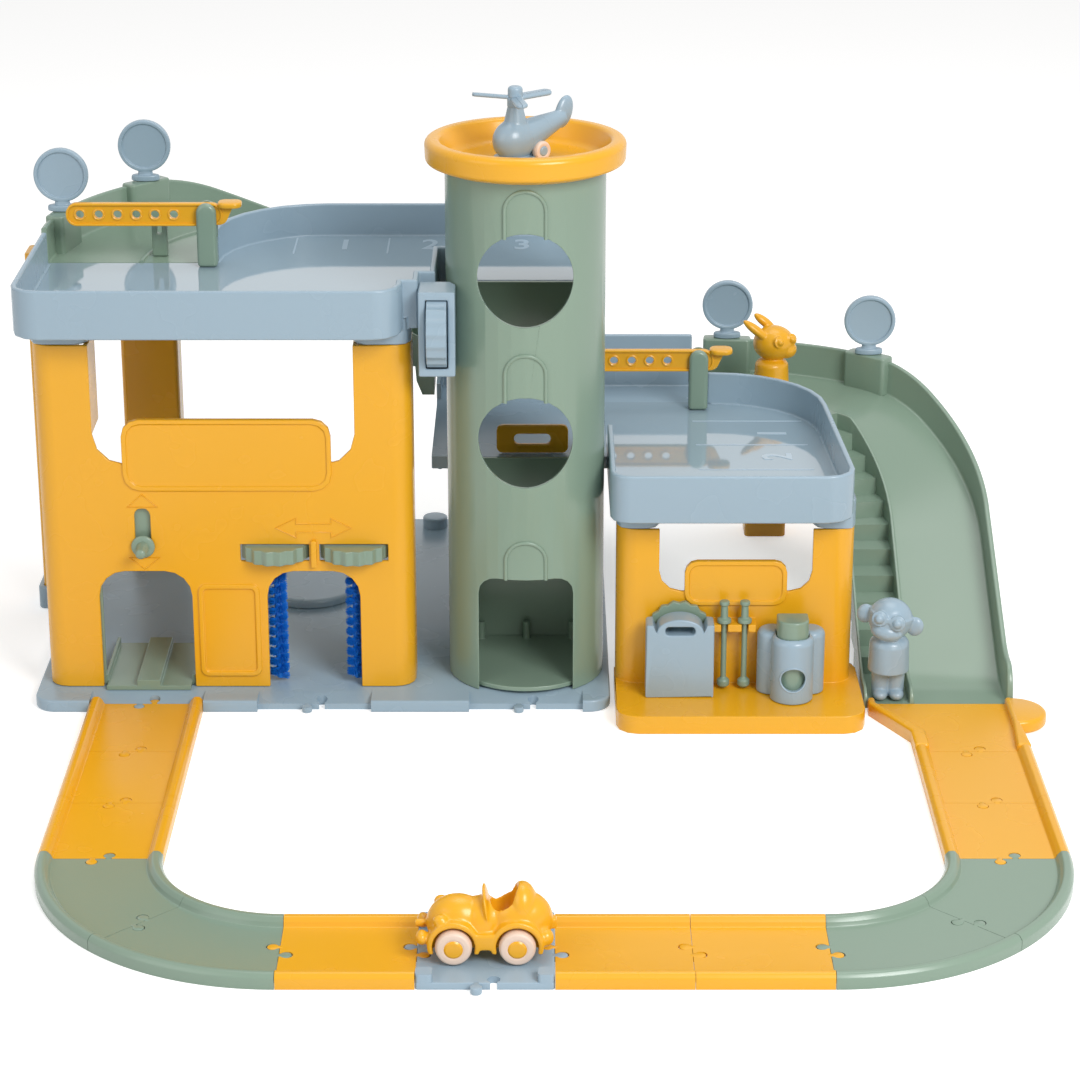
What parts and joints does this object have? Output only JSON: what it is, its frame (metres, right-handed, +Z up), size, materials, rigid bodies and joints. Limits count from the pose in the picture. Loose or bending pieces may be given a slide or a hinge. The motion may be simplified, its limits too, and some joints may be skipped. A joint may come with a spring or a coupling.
{
  "type": "toy garage",
  "caption": "Moulded plastic toy garage with a lift tower, decks, curved ramps, car wash, hoist, fuel station, hooked track tiles, a toy car and a helicopter.",
  "frame": {"origin": "on the underside of the base plate, under the lift tower's axis", "axes": "+Z up; -Y towards the front with the arches, tower door and fuel station; +X from the car wash to the fuel station"},
  "size_m": [0.6668, 0.7173, 0.393],
  "materials": {
    "yellow": "semi-gloss",
    "green": "semi-gloss",
    "blue": "semi-gloss",
    "beige": "satin",
    "bristle": "satin"
  },
  "bodies": {
    "garage": {"base_plate": "blue", "boom_post_middle": "green", "boom_post_upper": "green", "crank_housing": "blue", "deck_guard": "yellow", "front_crossing": "blue", "front_straight_1": "yellow", "front_straight_2": "yellow", "front_straight_3": "yellow", "front_wall": "yellow", "fuel_can": "blue", "heliport_dish": "yellow", "left_curve_1": "green", "left_curve_2": "green", "left_straight_1": "yellow", "left_straight_2": "yellow", "left_straight_3": "yellow", "lower_ramp": "green", "lower_ramp_legs": "yellow", "middle_deck": "blue", "pump_body": "blue", "ramp_foot_tile": "yellow", "right_curve_1": "green", "right_curve_2": "green", "right_straight_1": "yellow", "right_straight_2": "yellow", "sign_lower_start": "blue", "sign_lower_turn": "blue", "sign_upper_start": "blue", "sign_upper_turn": "blue", "station_front": "yellow", "tower_frame": "green", "tower_shell": "green", "upper_deck": "blue", "upper_ramp": "green", "upper_ramp_legs": "yellow"},
    "crank": {"crank_wheel": "blue"},
    "lift": {"lift_platform": "green"},
    "upper_boom": {"boom_upper": "yellow"},
    "middle_boom": {"boom_middle": "yellow"},
    "hoist": {"hoist_platform": "green", "hoist_lever": "green"},
    "wash_left": {"thumb_wheel_left": "green", "wash_brush_left": "bristle"},
    "wash_right": {"thumb_wheel_right": "green", "wash_brush_right": "bristle"},
    "turntable": {"turntable": "blue"},
    "counter": {"counter_wheel": "green"},
    "button": {"pump_button": "green"},
    "nozzle_left": {"nozzle_left": "green"},
    "nozzle_right": {"nozzle_right": "green"},
    "car": {"car_body": "yellow"},
    "car_front_axle": {"car_front_wheels": "beige"},
    "car_rear_axle": {"car_rear_wheels": "beige"},
    "helicopter": {"helicopter_body": "blue"},
    "rotor": {"helicopter_rotor": "blue"},
    "helicopter_axle": {"helicopter_wheels": "beige"},
    "monkey": {"monkey_figure": "blue"},
    "rabbit": {"rabbit_figure": "yellow"}
  },
  "joints": [
    {"name": "crank_turn", "type": "hinge", "parent": "garage", "child": "crank", "pos_m": [-0.0545, -0.037, 0.247], "axis": [1, 0, 0], "range_deg": [0, 1550]},
    {"name": "lift_travel", "type": "slide", "parent": "garage", "child": "lift", "axis": [0, 0, 1], "range_m": [0, 0.2436]},
    {"name": "upper_boom_swing", "type": "hinge", "parent": "garage", "child": "upper_boom", "pos_m": [-0.207, 0.083, 0.2903], "axis": [0, 1, 0], "range_deg": [0, 60]},
    {"name": "middle_boom_swing", "type": "hinge", "parent": "garage", "child": "middle_boom", "pos_m": [0.117, 0.149, 0.1713], "axis": [0, 1, 0], "range_deg": [0, 60]},
    {"name": "hoist_travel", "type": "slide", "parent": "garage", "child": "hoist", "axis": [0, 0, 1], "range_m": [0, 0.02]},
    {"name": "wash_left_spin", "type": "hinge", "parent": "garage", "child": "wash_left", "pos_m": [-0.159, -0.026, 0.1], "axis": [0, 0, 1], "continuous": true},
    {"name": "wash_right_spin", "type": "hinge", "parent": "garage", "child": "wash_right", "pos_m": [-0.109, -0.026, 0.1], "axis": [0, 0, 1], "continuous": true},
    {"name": "turntable_spin", "type": "hinge", "parent": "garage", "child": "turntable", "pos_m": [-0.15, 0.132, 0.014], "axis": [0, 0, 1], "continuous": true},
    {"name": "counter_spin", "type": "hinge", "parent": "garage", "child": "counter", "pos_m": [0.0975, -0.041, 0.05], "axis": [0, 1, 0], "continuous": true},
    {"name": "pump_press", "type": "slide", "parent": "garage", "child": "button", "axis": [0, 0, 1], "range_m": [-0.004, 0], "stiffness_N_per_m": 300, "springref_m": 0.002},
    {"name": "nozzle_left_lift", "type": "slide", "parent": "garage", "child": "nozzle_left", "axis": [0, 0, 1], "range_m": [0, 0.03]},
    {"name": "nozzle_right_lift", "type": "slide", "parent": "garage", "child": "nozzle_right", "axis": [0, 0, 1], "range_m": [0, 0.03]},
    {"name": "car_roll", "type": "slide", "parent": "garage", "child": "car", "axis": [1, 0, 0], "range_m": [-0.07, 0.14]},
    {"name": "car_front_spin", "type": "hinge", "parent": "car", "child": "car_front_axle", "pos_m": [-0.037, -0.386, 0.0141], "axis": [0, 1, 0], "range_deg": [-410, 825]},
    {"name": "car_rear_spin", "type": "hinge", "parent": "car", "child": "car_rear_axle", "pos_m": [-0.003, -0.386, 0.0141], "axis": [0, 1, 0], "range_deg": [-410, 825]},
    {"name": "helicopter_lift", "type": "slide", "parent": "garage", "child": "helicopter", "axis": [0, 0, 1], "range_m": [0, 0.05]},
    {"name": "rotor_spin", "type": "hinge", "parent": "helicopter", "child": "rotor", "pos_m": [-0.00613, -0.00514, 0.39], "axis": [0, 0, 1], "continuous": true},
    {"name": "helicopter_wheel_spin", "type": "hinge", "parent": "helicopter", "child": "helicopter_axle", "pos_m": [0.00383, 0.00321, 0.3526], "axis": [-0.6428, 0.766, 0], "continuous": true},
    {"name": "monkey_lift", "type": "slide", "parent": "garage", "child": "monkey", "axis": [0, 0, 1], "range_m": [0, 0.05]},
    {"name": "rabbit_lift", "type": "slide", "parent": "garage", "child": "rabbit", "axis": [0, 0, 1], "range_m": [0, 0.05]}
  ],
  "couplings": [
    {"joint": "lift_travel", "follows": "crank_turn", "m_per_rad": 0.009},
    {"joint": "car_front_spin", "follows": "car_roll", "rad_per_m": 101.01},
    {"joint": "car_rear_spin", "follows": "car_roll", "rad_per_m": 101.01}
  ]
}
